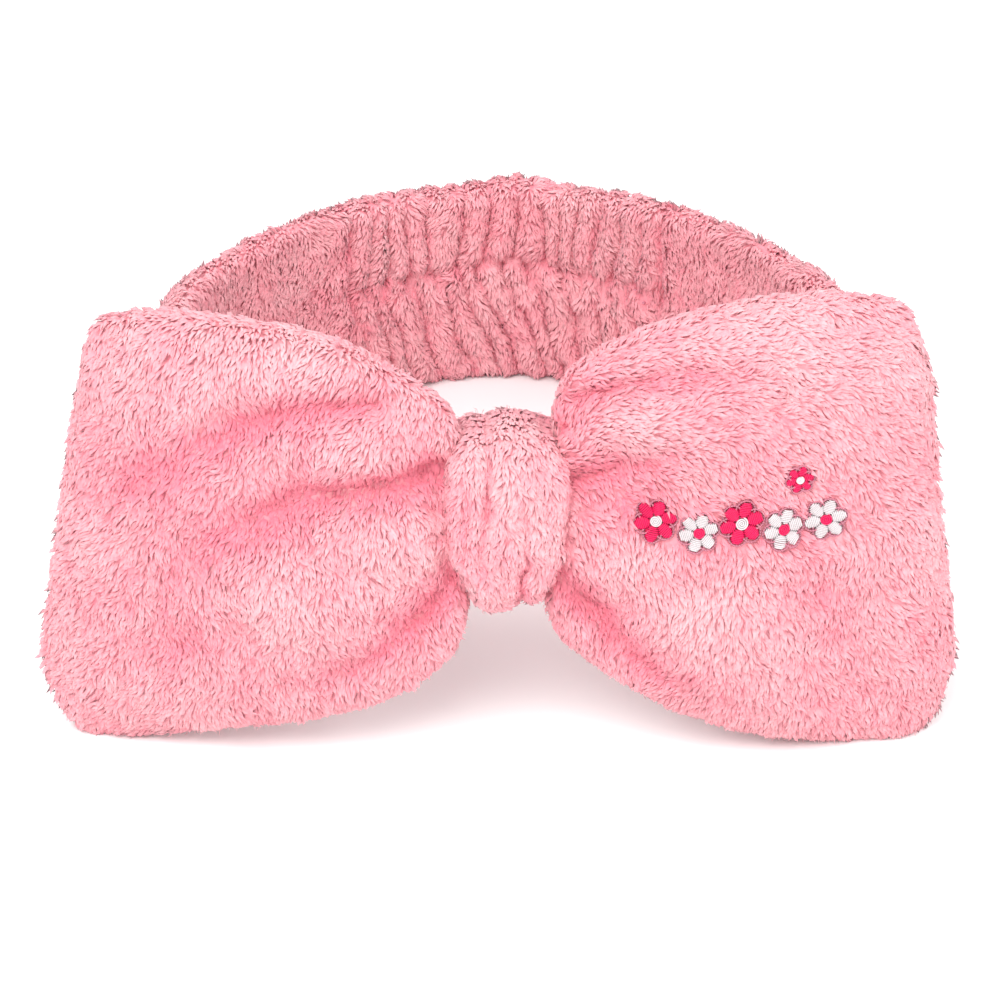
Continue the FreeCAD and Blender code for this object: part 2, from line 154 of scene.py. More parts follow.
def band_grid(na, nv, a0, a1, v0, v1):
    """Points of the band's knitted base. v runs round the section: 0..0.5 outer face from bottom to top, 0.5..1 inner face from top to bottom."""
    a = np.linspace(a0, a1, na)[:, None] * np.ones((1, nv))
    v = np.linspace(v0, v1, nv)[None, :] * np.ones((na, 1))
    p, t, n = plan_frame(a)
    h, zc, th = band_dims(a)
    h = h - 2 * PILE_BASE
    th = th - 2 * PILE_BASE
    s = arc_of(a)
    # section: a rounded slab; q in 0..1 along each face
    side = np.where(v < 0.5, 0.0, 1.0)
    q = np.where(v < 0.5, v * 2, 2 - v * 2)
    cz = -np.cos(math.pi * q)
    # rounded ends: full thickness except in the last r of the height
    zz = np.sign(cz) * np.abs(cz) ** 0.62
    z = zz * h / 2
    edge = np.clip((np.abs(z) - (h / 2 - 3.4)) / 3.4, 0, 1)
    half = th / 2 * np.sqrt(np.maximum(1 - edge ** 2, 0))
    depth = th / 2 + PILE_BASE + np.where(side > 0, half, -half)
    zq = z / (h / 2)
    # soft unevenness of the smooth sleeve
    P0 = np.stack([p[..., 0] + n[..., 0] * depth, p[..., 1] + n[..., 1] * depth, z + zc], -1)
    rear = 1 - smooth(np.abs(a), SEAM - 0.02, SEAM + 0.10)
    plain = 1 - rear
    face = np.sqrt(np.maximum(1 - edge ** 2, 0))
    d = 0.55 * W_SIDE(P0) * plain + 0.22 * W_SIDE2(P0)
    # gathers over the elastic
    wob = 1.6 * W_G(P0)
    g_out = gathers(s + 0.5 * wob, _gather, 0.6)
    crease = 4.0 + 3.5 * np.exp(-(s / 22) ** 2)
    zi = z
    up = smooth(zi, crease - 1.5, crease + 1.5)
    g_up = gathers(s * 0.97 + wob * 0.6 - 0.10 * (zi - crease), _gather2, 0.55)
    g_lo = gathers(s * 0.97 + wob * 0.8 + 0.42 * (zi - crease), _gather3, 0.6)
    g_in = g_up * up + g_lo * (1 - up)
    gg = np.where(side > 0, g_in, g_out)
    win = rear * (0.35 + 0.65 * smooth(SEAM - np.abs(a), -0.02, 0.12))
    pull = win * (4.2 * gg - 0.9) * (1 - 0.5 * smooth(np.abs(zq), 0.72, 0.98))
    # rims of the gathered part: puckered up and down
    rim = win * (1.0 * gathers(s + wob * 0.4, _gather, 0.8) - 0.5) * smooth(np.abs(zq), 0.55, 1.0)
    z = z - np.sign(z) * rim
    z = z + np.where(z > 0, 1, 0) * 2.4 * np.exp(-((s - 4) / 11) ** 2) * smooth(zq, 0.2, 1.0)
    # join seams: a drawn-in line round the tube
    ds = (np.abs(s) - arc_of(SEAM))
    notch = 1.9 * np.exp(-(ds / 1.7) ** 2)
    # lengthwise seam on the inner face
    lc = np.where(np.abs(a) < SEAM + 0.05, crease, 4.6)
    lz = np.exp(-((z - lc) / 1.9) ** 2) * (side > 0) * (0.9 + 0.9 * rear)
    lz = lz * smooth(math.pi - np.abs(a), 0.2, 0.4)
    # small pleats where the knot squeezes the band
    dk = np.abs(math.pi - np.abs(a))
    kn = np.exp(-(dk / 0.42) ** 2)
    pleat = kn * 1.1 * (0.5 - 0.5 * np.cos(2 * math.pi * (z + 1.0 * W_G(P0)) / 8.0))
    inward = (d * face + np.where(side > 0, -1, 1) * 0) * 0
    off = -(d * face) + (pull + notch + lz + pleat) * (0.35 + 0.65 * face)
    # off > 0 pulls the surface inwards (towards the middle of the tube)
    limit = np.maximum(half - 0.85, 0.2)
    off = np.minimum(off, limit)
    depth = depth + np.where(side > 0, -off, off)
    P = np.stack([p[..., 0] + n[..., 0] * depth, p[..., 1] + n[..., 1] * depth, z + zc], -1)
    # sink, from how far gathers, seams and pleats draw the surface in, lowers the pile's tone: painted shade in them
    # and a painted highlight on the gather crests
    extra = {"a": a, "v": v, "s": s, "sink": np.clip((pull + notch + lz + pleat) / 2.6, -0.4, 1.2), "side": side}
    return P, extra


# ------------------------------------------------------------------ bow shape
BOW_Y, BOW_WRAP, BACK_FLAT = -95.0, 10.0, 0.66
HINGE_X = 12.0
LEFT_WING = np.array([
    (15.8, 20.0, 15.8, -16.5, 15.6), (19.0, 29.5, 18.5, -32.0, 17.0), (27.0, 38.0, 27.0, -42.5, 22.5),
    (40.0, 45.0, 41.0, -47.5, 27.5), (58.0, 48.5, 60.0, -51.0, 28.0), (76.0, 49.8, 82.0, -54.5, 24.5),
    (89.0, 48.0, 98.0, -56.3, 17.0), (93.0, 42.0, 105.5, -49.0, 10.5), (95.2, 34.0, 108.6, -39.0, 5.0)])
RIGHT_WING = np.array([
    (15.8, 20.0, 15.8, -16.5, 15.6), (18.5, 36.0, 19.5, -29.0, 17.0), (27.0, 44.5, 28.0, -38.5, 22.5),
    (40.0, 49.8, 41.0, -46.8, 27.5), (57.0, 53.2, 60.0, -53.5, 28.0), (74.0, 54.0, 81.0, -56.3, 24.5),
    (87.5, 50.8, 95.5, -56.3, 17.0), (91.5, 44.0, 101.5, -50.0, 10.5), (94.0, 36.0, 104.6, -39.0, 5.0)])


def mid_y(x):
    return BOW_Y + BOW_WRAP * (np.abs(x) / 105.0) ** 2


def table_at(table, k):
    n = len(table)
    i = np.clip(np.floor(k).astype(int), 0, n - 2)
    f = (k - i)[..., None]
    p0, p1, p2, p3 = table[np.maximum(i - 1, 0)], table[i], table[i + 1], table[np.minimum(i + 2, n - 1)]
    return 0.5 * (2 * p1 + (p2 - p0) * f + (2 * p0 - 5 * p1 + 4 * p2 - p3) * f ** 2 + (3 * p1 - p0 - 3 * p2 + p3) * f ** 3)


# fold lines of the front faces: points (x, z), then depth and half width at both ends
FOLDS = {
    -1: [
        ([(-11, 15.4), (-17, 14.6), (-30, 12), (-43.6, 10.2), (-52, 6.4), (-62, 0.5), (-71, -6.5), (-78, -14)], 7.5, 2.2, 1.1, 8.0),
        ([(-30, 31), (-40, 31.2), (-48.4, 30.2), (-58.8, 26.3), (-70.7, 20.3), (-81.4, 13.6), (-89, 6)], 3.4, 3.6, 2.2, 7.0),
        ([(-8, -3.8), (-11, -8.6), (-14.8, -14.4), (-21.3, -21), (-28, -27.5), (-36, -32), (-46, -35)], 7.0, 1.9, 1.2, 6.0),
        ([(-60, -22), (-74, -27), (-86, -34)], 1.4, 7.0, 1.2, 7.0),
    ],
    1: [
        ([(10, 29.5), (17, 32.2), (26, 35), (35.7, 37.2), (46, 38.6), (56, 39)], 4.6, 2.0, 0.9, 5.0),
        ([(12, 12.8), (16, 13.4), (23, 15.5), (32, 19), (42, 22)], 4.6, 2.0, 0.7, 5.5),
        ([(8.8, -7.5), (12, -11), (16.2, -14.8), (22, -20.3), (28, -27.6), (36, -34), (46, -39)], 7.0, 1.9, 1.2, 5.5),
        ([(24, 40.5), (28, 42.7), (32, 44.7), (35.7, 46), (39.4, 47), (47.4, 49.3)], 1.6, 0.9, 1.2, 0.9),
        ([(12.4, 24), (14.4, 24.6)], 3.5, 1.6, 1.5, 1.6),
        ([(26, 6), (40, 5.5), (56, 5), (76, 3)], 1.3, 9.0, 1.3, 9.0),
        ([(70, -14), (80, -30), (84, -44)], 1.2, 7.0, 0.8, 7.0),
    ],
}
RIDGES = {-1: [(-34, 21, 8.5, 1.6), (-24, -3, 9, 1.8), (-52, 40, 12, 1.0), (-50, -18, 15, 1.6)],
          1: [(30, 26, 7, 1.2), (26, -4, 9, 1.4), (60, 46, 14, 1.0), (52, -22, 16, 1.6)]}


def near_line(x, z, pts):
    """Distance to a line of points and the share of the way along it."""
    best = np.full(x.shape, 1e9)
    where = np.zeros(x.shape)
    L = np.array([math.dist(a, b) for a, b in zip(pts[:-1], pts[1:])])
    C = np.concatenate([[0], np.cumsum(L)]) / L.sum()
    for i, (a, b) in enumerate(zip(pts[:-1], pts[1:])):
        dx, dz = b[0] - a[0], b[1] - a[1]
        t = np.clip(((x - a[0]) * dx + (z - a[1]) * dz) / (dx * dx + dz * dz), 0, 1)
        d = np.hypot(x - a[0] - t * dx, z - a[1] - t * dz)
        m = d < best
        best = np.where(m, d, best)
        where = np.where(m, C[i] + t * (C[i + 1] - C[i]), where)
    return best, where


W_W1, W_W2, W_W3 = Waves(11, 40), Waves(12, 15), Waves(13, 7)


def fold_depth(side, x, z):
    """How far the front face sinks (mm) at x, z."""
    d = np.zeros(x.shape)
    for pts, dep0, w0, dep1, w1 in FOLDS[side]:
        r, f = near_line(x, z, pts)
        w = w0 + (w1 - w0) * f
        dep = dep0 + (dep1 - dep0) * f ** 0.7
        dep = 1.7 * dep * (1 - smooth(f, 0.9, 1.0) * 0.4)
        d += dep / (1 + (r / w) ** 2) ** 1.25
    for cx, cz, w, h in RIDGES[side]:
        d -= 1.3 * h * np.exp(-(((x - cx) / w) ** 2 + ((z - cz) / (0.8 * w)) ** 2))
    return d


def wing_grid(side, table, nk, nv, v0, v1):
    """Points of a wing's knitted base. v: 0..1 front face from the upper to the lower edge, 1..2 back face and up again."""
    kk = np.concatenate([np.linspace(-1.6, 0, 10)[:-1], np.linspace(0, 8, nk), [8.35]])
    vv = np.linspace(v0, v1, nv)
    k = kk[:, None] * np.ones((1, nv))
    v = vv[None, :] * np.ones((len(kk), 1))
    T = table_at(table, np.clip(k, 0, 8))
    xt, zt, xb, zb, th = [T[..., i] for i in range(5)]
    # inside the knot the neck runs on straight
    pre = np.minimum(k, 0)
    xt = xt + pre * 7.5
    xb = xb + pre * 7.5
    zt = zt + pre * 1.2
    zb = zb - pre * 1.2
    end = smooth(k, 8.0, 8.35)
    th = th * (1 - end)
    cx, cz = (xt + xb) / 2, (zt + zb) / 2
    hx, hz = (xt - xb) / 2, (zt - zb) / 2
    half = np.hypot(hx, hz)
    ux, uz = hx / half, hz / half
    half = half - PILE_BASE - end * 1.0
    ht = np.maximum(th / 2 - PILE_BASE, 0.12)
    front = v <= 1.0
    q = np.where(front, v, 2 - v)
    f = math.pi * q
    c, s = np.cos(f), np.sin(f)
    cu = np.sign(c) * np.abs(c) ** 0.72 * half
    back_share = 1 - (1 - BACK_FLAT) * smooth(k, 0.6, 2.0)
    cs = np.maximum(s, 0) ** 0.8 * ht * np.where(front, 1, back_share)
    x = cx + ux * cu + end * 0.7
    z = cz + uz * cu
    lip = np.exp(-((k - 0.5) / 1.15) ** 2) * smooth(np.abs(cu / half), 0.25, 1.0)
    x = x - lip * np.where(cu < 0, 6.5, 5.0)
    z = z + lip * np.where(cu > 0, 1.5, 0.5)
    X = side * x
    inner = np.maximum(s, 0) ** 0.7
    puff = 2.2 * np.exp(-((x - 13) / 6.0) ** 2) * (np.exp(-((z + 11) / 6.0) ** 2) + 0.5 * np.exp(-((z - 17) / 6.0) ** 2)) * np.where(front, 1, 0)
    dep = fold_depth(side, X, z)
    # gathering pleats where the fabric enters the knot
    near = np.exp(-np.maximum(x - 13, 0) / 9.0)
    ang = np.arctan2(z - 3, x - 2)
    pleats = near * 1.5 * (0.5 - 0.5 * np.cos(ang * 13 + 0.7 * side)) * np.where(front, 0.75, 1.25)
    back_dep = 1.0 * (1 - np.cos(ang * 6)) * np.exp(-np.maximum(x - 14, 0) / 26.0) * 1.4
    P0 = np.stack([X, mid_y(x) - np.where(front, cs, -cs), z], -1)
    rough = 0.75 * W_W1(P0) + 0.32 * W_W2(P0) + 0.12 * W_W3(P0)
    out = cs + (rough * inner) * smooth(k, -0.5, 1.0)
    sink = np.where(front, dep, back_dep) * inner * smooth(k, -1.0, 0.3) + pleats * inner
    room = cs * 0.93
    sink = np.where(sink > 0, room * np.tanh(sink / np.maximum(room, 0.2)), sink)
    out = np.maximum(out - sink, 0.1 * cs) + puff * inner
    out = out * (1 - end)
    y = mid_y(x) - np.where(front, out, -out)
    # the tip edge waves a little
    wav = 0.9 * np.sin(z / 13.0 + side) * smooth(k, 6.5, 8.0)
    y = y + wav
    P = np.stack([X, y, z], -1)
    # sink, the fold depth, lowers the pile's tone: painted shade in the folds and pleats and a painted highlight on the
    # raised ridges
    return P, {"k": k, "v": v, "x": X, "z": z, "sink": np.clip(sink / 3.0, -0.3, 1.2), "front": front * 1.0}


# ------------------------------------------------------------------ knot shape
KNOT_Y, KNOT_Z = (-107.0, -74.6), (-19.0, 24.5)


def knot_grid(nu, nv):
    """u round the loop, v across it from the left edge to the right edge."""
    u = np.linspace(0, 2 * math.pi, nu)[:, None] * np.ones((1, nv))
    v = np.linspace(0, 1, nv)[None, :] * np.ones((nu, 1))
    yc, zc = sum(KNOT_Y) / 2, sum(KNOT_Z) / 2
    ry, rz = (KNOT_Y[1] - KNOT_Y[0]) / 2 - PILE_BASE, (KNOT_Z[1] - KNOT_Z[0]) / 2 - PILE_BASE
    # u = 0 at the front, pi/2 at the top
    cy, sz = np.cos(u), np.sin(u)
    ey = np.sign(cy) * np.abs(cy) ** 0.62
    ez = np.sign(sz) * np.abs(sz) ** 0.62
    frontness = np.clip(cy, 0, 1)
    zn = ez * rz + zc
    w = 12.6 - PILE_BASE * 0.6
    wl = w + 0.8 * np.exp(-((zn - 12) / 9) ** 2) - 6.8 * smooth(-zn, 4, 21) * (0.5 + 0.5 * frontness)
    wr = w + 1.4 * np.exp(-((zn - 13) / 9) ** 2) - 5.2 * smooth(-zn, 4, 21) * (0.5 + 0.5 * frontness)
    wl = wl - 1.6 * smooth(zn, 19, 25)
    wr = wr - 1.6 * smooth(zn, 19, 25)
    f = math.pi * (1 - v)
    cx = np.cos(f)
    x = np.where(cx < 0, wl, wr) * np.sign(cx) * np.abs(cx) ** 0.8
    prof = np.sin(f).clip(0) ** 0.55
    T = 4.6
    drop = T * (1 - prof)
    # lengthwise folds of the wrap
    fold = 0.0
    for x0, dep, wd, ph in ((-4.8, 2.3, 1.5, 0.0), (3.4, 2.6, 1.5, 1.6), (-9.2, 0.9, 1.3, 0.7), (8.3, 1.2, 1.4, 2.4)):
        xx = x0 + 0.9 * np.sin(zn / 9.0 + ph)
        fold = fold + dep * np.exp(-((x - xx) / wd) ** 2) * (0.55 + 0.45 * np.sin(zn / 11.0 + ph * 2))
    fold = fold * (1 - 0.6 * smooth(zn, 12, 22)) * (1 - 0.5 * smooth(-zn, 8, 17))
    P0 = np.stack([x, cy * 10, zn], -1)
    fold = fold - 0.35 * W_W2(P0) - 0.8 * np.exp(-(x / 9) ** 2) * frontness
    r = 1 - (drop + fold * prof) / 17.0
    y = yc - ey * ry * r
    z = zc + ez * rz * r
    P = np.stack([x, y, z], -1)
    # sink, from the wrap's folds and from how far the loop rolls away towards its left and right edges, lowers the
    # pile's tone: painted shade there
    return P, {"u": u, "v": v, "sink": np.clip(fold / 1.8 + drop / T * 0.8, -0.3, 1.2)}


# ------------------------------------------------------------------ pile
W_D1, W_D2, W_D3, W_T1, W_T2, W_L = Waves(21, 17), Waves(22, 6.5), Waves(23, 3.4), Waves(24, 24), Waves(25, 5.5), Waves(26, 9)
W_P1, W_P2 = Waves(27, 5.0), Waves(28, 2.6)


def normals(P, flip):
    du = np.gradient(P, axis=0)
    dv = np.gradient(P, axis=1)
    return unit(np.cross(du, dv)) * (-1 if flip else 1)


def spread(P, N, extra, density, seed, keep=None):
    """Evenly spread points over a grid surface: position, normal and the grid's extra values."""
    r = np.random.default_rng(seed)
    A, B, C, D = P[:-1, :-1], P[1:, :-1], P[1:, 1:], P[:-1, 1:]
    area = 0.5 * (np.linalg.norm(np.cross(B - A, C - A), axis=-1) + np.linalg.norm(np.cross(C - A, D - A), axis=-1))
    w = area if keep is None else area * keep(extra)[:-1, :-1]
    cum = np.cumsum(w.ravel())
    n = int(cum[-1] * density)
    at = (np.arange(n) + r.uniform(0, 1, n)) / n * cum[-1]
    cell = np.searchsorted(cum, at).clip(0, len(cum) - 1)
    i, j = np.unravel_index(cell, area.shape)
    fu, fv = r.uniform(0, 1, n), r.uniform(0, 1, n)

    def mix(G):
        if G.ndim == 3:
            a, b = fu[:, None], fv[:, None]
        else:
            a, b = fu, fv
        return G[i, j] * (1 - a) * (1 - b) + G[i + 1, j] * a * (1 - b) + G[i + 1, j + 1] * a * b + G[i, j + 1] * (1 - a) * b

    return mix(P), unit(mix(N)), {k: mix(np.asarray(g, float)) for k, g in extra.items()}, r


def rotate_about(v, axis, ang):
    c, s = np.cos(ang)[:, None], np.sin(ang)[:, None]
    return v * c + np.cross(axis, v) * s + axis * (axis * v).sum(-1, keepdims=True) * (1 - c)


def tufts(p, n, d, r, length=3.9, lift=0.6, width=0.84, sink=None, wild=1.0, tone_shift=0.0, gather_lock=1.0):
    """Closed tapering tufts: three rings of three points and a tip would be too many, so two rings and a tip.
    Returns points, quads, tris, and per point tone (random tone plus painted shade in the folds) and height along the
    tuft."""
    m = len(p)
    t = d - (d * n).sum(-1, keepdims=True) * n
    weak = np.linalg.norm(t, axis=-1) < 0.25
    alt = np.cross(n, np.array([0.0, 1.0, 0.0]))
    t = np.where(weak[:, None], unit(t + 0.2 * unit(alt)), unit(t))
    ang = wild * (0.22 * W_D1(p) + 0.20 * W_D2(p) + 0.16 * W_D3(p)) + r.normal(0, 0.12, m) * wild
    t = rotate_about(t, n, ang)
    b = np.cross(n, t)
    L = length * (1 + 0.10 * W_L(p) + r.normal(0, 0.09, m)).clip(0.55, 1.35)
    up = (lift + 0.06 * W_P1(p) + 0.05 * W_P2(p) + r.normal(0, 0.03, m)).clip(0.12, 1.15)
    h = L * np.sin(up)
    l = L * np.cos(up)
    lock = gather_lock * 0.16 * np.stack([W_P2(p + 11), W_P2(p + 23), W_P2(p + 37)], -1)
    w = width * (1 + r.normal(0, 0.14, m)).clip(0.6, 1.4)
    p0 = p - n * 0.25
    p1 = p + n * (h * 0.80)[:, None] + t * (l * 0.46)[:, None] + lock * 0.4
    p2 = p + n * (h * 0.92)[:, None] + t * (l * 1.0)[:, None] + lock
    pts = np.zeros((m, 7, 3))
    roll = r.uniform(0, 2 * math.pi / 3, m)
    for i in range(3):
        a = roll + i * 2 * math.pi / 3
        # the ring lies across the tuft's own direction
        e0 = b * np.cos(a)[:, None] - t * np.sin(a)[:, None]
        e1 = b * np.cos(a)[:, None] + unit(n - 0.6 * t) * np.sin(a)[:, None]
        pts[:, i] = p0 + e0 * (w * 0.36)[:, None]
        pts[:, 3 + i] = p1 + e1 * (w * 0.52)[:, None]
    pts[:, 6] = p2
    nrm = np.zeros((m, 7, 3))
    # round the rims, where the pile stands up, each tuft shades as its own body
    own = SOFT + 1.0 * np.clip((np.broadcast_to(lift, (m,)) - 0.28) / 0.09, 0, 1)[:, None]
    for i in range(3):
        nrm[:, i] = unit(n + (own - SOFT) * unit(pts[:, i] - p0))
        out_ = unit(pts[:, 3 + i] - p1)
        under = np.clip(-(out_ * n).sum(-1, keepdims=True), 0, 1)
        nrm[:, 3 + i] = unit(n + (own + 1.6 * under) * out_)
    nrm[:, 6] = unit(n + 0.3 * t)
    base = np.arange(m)[:, None] * 7
    quads = np.concatenate([base + np.array([i, (i + 1) % 3, 3 + (i + 1) % 3, 3 + i]) for i in range(3)], 0)
    tris = np.concatenate([base + np.array([3 + i, 3 + (i + 1) % 3, 6]) for i in range(3)] + [base + np.array([2, 1, 0])], 0)
    tone_and_shade = 0.60 + 0.05 * W_T1(p) + 0.06 * W_T2(p) + r.normal(0, 0.07, m) + tone_shift
    # the fold depth lowers the tone: painted shade in the folds, gathers and seams, and a painted highlight where
    # ridges give a depth below 0
    if sink is not None:
        tone_and_shade = tone_and_shade + 0.05 - 0.52 * np.clip(sink, -0.12, 1.2)
    tone_and_shade = tone_and_shade.clip(0.02, 0.98)
    T = np.repeat(tone_and_shade[:, None], 7, 1)
    # height along the tuft, which the pile material turns into painted shade at the root and a painted highlight at the
    # tip
    H = np.repeat(np.array([[0, 0, 0, 0.55, 0.55, 0.55, 1.0]]), m, 0)
    return pts.reshape(-1, 3), quads, tris, T.ravel(), H.ravel(), nrm.reshape(-1, 3)


def shell(P, N, thick, step=2):
    """The knitted base as a closed thin sheet."""
    iu = np.unique(np.r_[np.arange(0, P.shape[0], step), P.shape[0] - 1])
    iv = np.unique(np.r_[np.arange(0, P.shape[1], step), P.shape[1] - 1])
    G, M = P[np.ix_(iu, iv)], N[np.ix_(iu, iv)]
    nu, nv = G.shape[:2]
    top = G.reshape(-1, 3)
    low = (G - M * thick).reshape(-1, 3)
    idx = np.arange(nu * nv).reshape(nu, nv)
    a, b, c, d = idx[:-1, :-1].ravel(), idx[1:, :-1].ravel(), idx[1:, 1:].ravel(), idx[:-1, 1:].ravel()
    q = [np.stack([a, b, c, d], 1), np.stack([d, c, b, a], 1) + nu * nv]
    ring = np.concatenate([idx[:, 0], idx[-1, 1:], idx[-2::-1, -1], idx[0, -2:0:-1]])
    nxt = np.roll(ring, -1)
    q.append(np.stack([nxt, ring, ring + nu * nv, nxt + nu * nv], 1))
    return np.concatenate([top, low]), np.concatenate(q)


def face_flip(q, flip):
    return q[:, ::-1] if flip else q


PIECES = {}


def build_piece(name, pts, quads, tris, tone_and_shade, height, material, nrm=None):
    me = bpy.data.meshes.new(name)
    P = row(pts)
    P[:, 2] = np.maximum(P[:, 2], 0.00005)
    nq, nt = len(quads), len(tris)
    me.vertices.add(len(P))
    me.vertices.foreach_set("co", P.astype(np.float32).ravel())
    loops = np.concatenate([quads.ravel(), tris.ravel()]).astype(np.int32)
    me.loops.add(len(loops))
    me.loops.foreach_set("vertex_index", loops)
    me.polygons.add(nq + nt)
    start = np.concatenate([np.arange(nq) * 4, nq * 4 + np.arange(nt) * 3]).astype(np.int32)
    me.polygons.foreach_set("loop_start", start)
    me.polygons.foreach_set("use_smooth", np.ones(nq + nt, bool))
    me.update(calc_edges=True)
    if nrm is not None:
        me.normals_split_custom_set_from_vertices(turn(nrm).astype(np.float32))
    at = me.attributes.new("pile", "FLOAT_COLOR", "POINT")
    col = np.stack([tone_and_shade, height, np.zeros_like(tone_and_shade), np.ones_like(tone_and_shade)], 1).astype(np.float32)
    at.data.foreach_set("color", col.ravel())
    # atlas: across by tone with its painted fold shade, up by height along the tuft, which gives the painted root shade
    uv = me.uv_layers.new(name="OFBake")
    cols = 32
    lt, lh = tone_and_shade[loops], height[loops]
    c = np.floor(lt * cols).clip(0, cols - 1)
    within = np.zeros(len(loops))
    within[: nq * 4] = np.tile([0.08, 0.92, 0.92, 0.08], nq)
    within[nq * 4:] = np.tile([0.08, 0.92, 0.5], nt)
    U = np.stack([(c + within) / cols, 0.02 + 0.96 * lh], 1)
    uv.data.foreach_set("uv", U.astype(np.float32).ravel())
    me.materials.append(material)
    ob = bpy.data.objects.new(name, me)
    bpy.context.scene.collection.objects.link(ob)
    PIECES[name] = ob
    return ob


def fleece_piece(name, P, N, extra, density, seed, direction, material, thick=1.0, flip=False, keep=None,
                 length=2.9, lift=0.34, width=0.94, wild=1.0, tone_shift=0.0, prune=None, fuzz=0.16, lift_fn=None, len_fn=None):
    sp, sq = shell(P, N, thick)
    sn, _ = shell(N, N * 0, 0.0)
    sn[len(sn) // 2:] *= -1
    sq = face_flip(sq, flip)
    sk = np.zeros(len(sp))
    p, n, ex, r = spread(P, N, extra, density, seed, keep)
    scale = np.ones(len(p))
    d = direction(p, n, ex)
    if prune is not None:
        m, scale = prune(p, n, ex, d, length)
        p, n, d, scale = p[m], n[m], d[m], scale[m]
        ex = {k: v[m] for k, v in ex.items()}
    ln = length * scale * (1 if len_fn is None else len_fn(p, n, ex))
    lf = lift if lift_fn is None else lift_fn(p, n, ex)
    tp, tq, tt, tone_and_shade, hh, tn = tufts(p, n, d, r, ln, lf, width, ex.get("sink"), wild, tone_shift)
    allp = [sp, tp]
    quads = [sq, tq + len(sp)]
    tris = [tt + len(sp)]
    # the base sheet takes a middle tone and the colour a quarter of the way up a tuft: painted shade under the pile
    tones_and_shades = [np.clip(0.55 + 0.1 * W_T1(sp), 0.02, 0.98), tone_and_shade]
    hs = [np.full(len(sp), 0.25), hh]
    ns = [sn, tn]
    if fuzz:
        # single fine fibres that stand out of the pile
        p, n, ex, r = spread(P, N, extra, fuzz, seed + 500, keep)
        d = direction(p, n, ex)
        if prune is not None:
            m, scale = prune(p, n, ex, d, length)
            p, n, d, scale = p[m], n[m], d[m], scale[m]
            ex = {k: v[m] for k, v in ex.items()}
        else:
            scale = 1.0
        fp, fq, ft, tone_and_shade, hh, fn = tufts(p, n, d, r, length * 0.85 * scale, 0.85, 0.16, ex.get("sink"), 1.8, 0.15 + tone_shift)
        o = sum(len(a) for a in allp)
        allp.append(fp)
        quads.append(fq + o)
        tris.append(ft + o)
        tones_and_shades.append(tone_and_shade)
        hs.append(hh)
        ns.append(fn)
    return build_piece(name, np.concatenate(allp), np.concatenate(quads), np.concatenate(tris),
                       np.concatenate(tones_and_shades), np.concatenate(hs), material, np.concatenate(ns))


# ------------------------------------------------------------------ materials
def principled(name):
    m = bpy.data.materials.new(name)
    m.use_nodes = True
    nt = m.node_tree
    return m, nt, nt.nodes["Principled BSDF"]


def ramp(nt, stops, fac):
    n = nt.nodes.new("ShaderNodeValToRGB")
    n.color_ramp.interpolation = "B_SPLINE" if len(stops) > 3 else "LINEAR"
    while len(n.color_ramp.elements) < len(stops):
        n.color_ramp.elements.new(0.5)
    for e, (pos, c) in zip(n.color_ramp.elements, stops):
        e.position = pos
        e.color = (*c, 1)
    nt.links.new(fac, n.inputs[0])
    return n.outputs[0]


def mix_rgb(nt, kind, fac, a, b):
    n = nt.nodes.new("ShaderNodeMix")
    n.data_type = "RGBA"
    n.blend_type = kind
    if isinstance(fac, float):
        n.inputs[0].default_value = fac
    else:
        nt.links.new(fac, n.inputs[0])
    for sock, v in ((n.inputs[6], a), (n.inputs[7], b)):
        if isinstance(v, tuple):
            sock.default_value = (*v, 1)
        else:
            nt.links.new(v, sock)
    return n.outputs[2]


def fleece_material(name, root0, mid0, tip0, root1, mid1, tip1):
    """Pile: colour runs from a saturated root to a pale tip, painted shade deep in the pile and a painted highlight on
    the tips, and from tuft to tuft, the low tones carrying painted shade in the folds.
    """
    m, nt, bsdf = principled(name)
    at = nt.nodes.new("ShaderNodeAttribute")
    at.attribute_name = "pile"
    sep = nt.nodes.new("ShaderNodeSeparateColor")
    nt.links.new(at.outputs["Color"], sep.inputs[0])
    # root to tip along each tuft: the darker root is painted shade deep in the pile, the pale tip a painted highlight
    low = ramp(nt, [(0.0, root0), (0.45, mid0), (1.0, tip0)], sep.outputs[1])
    high = ramp(nt, [(0.0, root1), (0.45, mid1), (1.0, tip1)], sep.outputs[1])
    col = mix_rgb(nt, "MIX", sep.outputs[0], low, high)
    tc = nt.nodes.new("ShaderNodeTexCoord")
    fine = nt.nodes.new("ShaderNodeTexNoise")
    fine.inputs["Scale"].default_value = 900.0
    fine.inputs["Detail"].default_value = 3.0
    nt.links.new(tc.outputs["Object"], fine.inputs["Vector"])
    var = ramp(nt, [(0.30, (0.90, 0.86, 0.87)), (0.72, (1.0, 1.0, 1.0))], fine.outputs[0])
    col = mix_rgb(nt, "MULTIPLY", 1.0, col, var)
    nt.links.new(col, bsdf.inputs["Base Color"])
    bsdf.inputs["Roughness"].default_value = 0.85
    bsdf.inputs["Specular IOR Level"].default_value = 0.18
    bsdf.inputs["Sheen Weight"].default_value = 0.25
    bsdf.inputs["Sheen Roughness"].default_value = 0.45
    bsdf.inputs["Sheen Tint"].default_value = (1.0, 0.86, 0.89, 1)
    bump = nt.nodes.new("ShaderNodeBump")
    bump.inputs["Strength"].default_value = 0.35
    bump.inputs["Distance"].default_value = 0.0002
    nt.links.new(fine.outputs[0], bump.inputs["Height"])
    nt.links.new(bump.outputs[0], bsdf.inputs["Normal"])
    return m


PINK = fleece_material(
    "pink_fleece_pile",
    (0.88, 0.21, 0.29), (0.90, 0.25, 0.33), (0.92, 0.29, 0.36),
    (0.94, 0.46, 0.50), (0.95, 0.50, 0.53), (0.96, 0.54, 0.57))


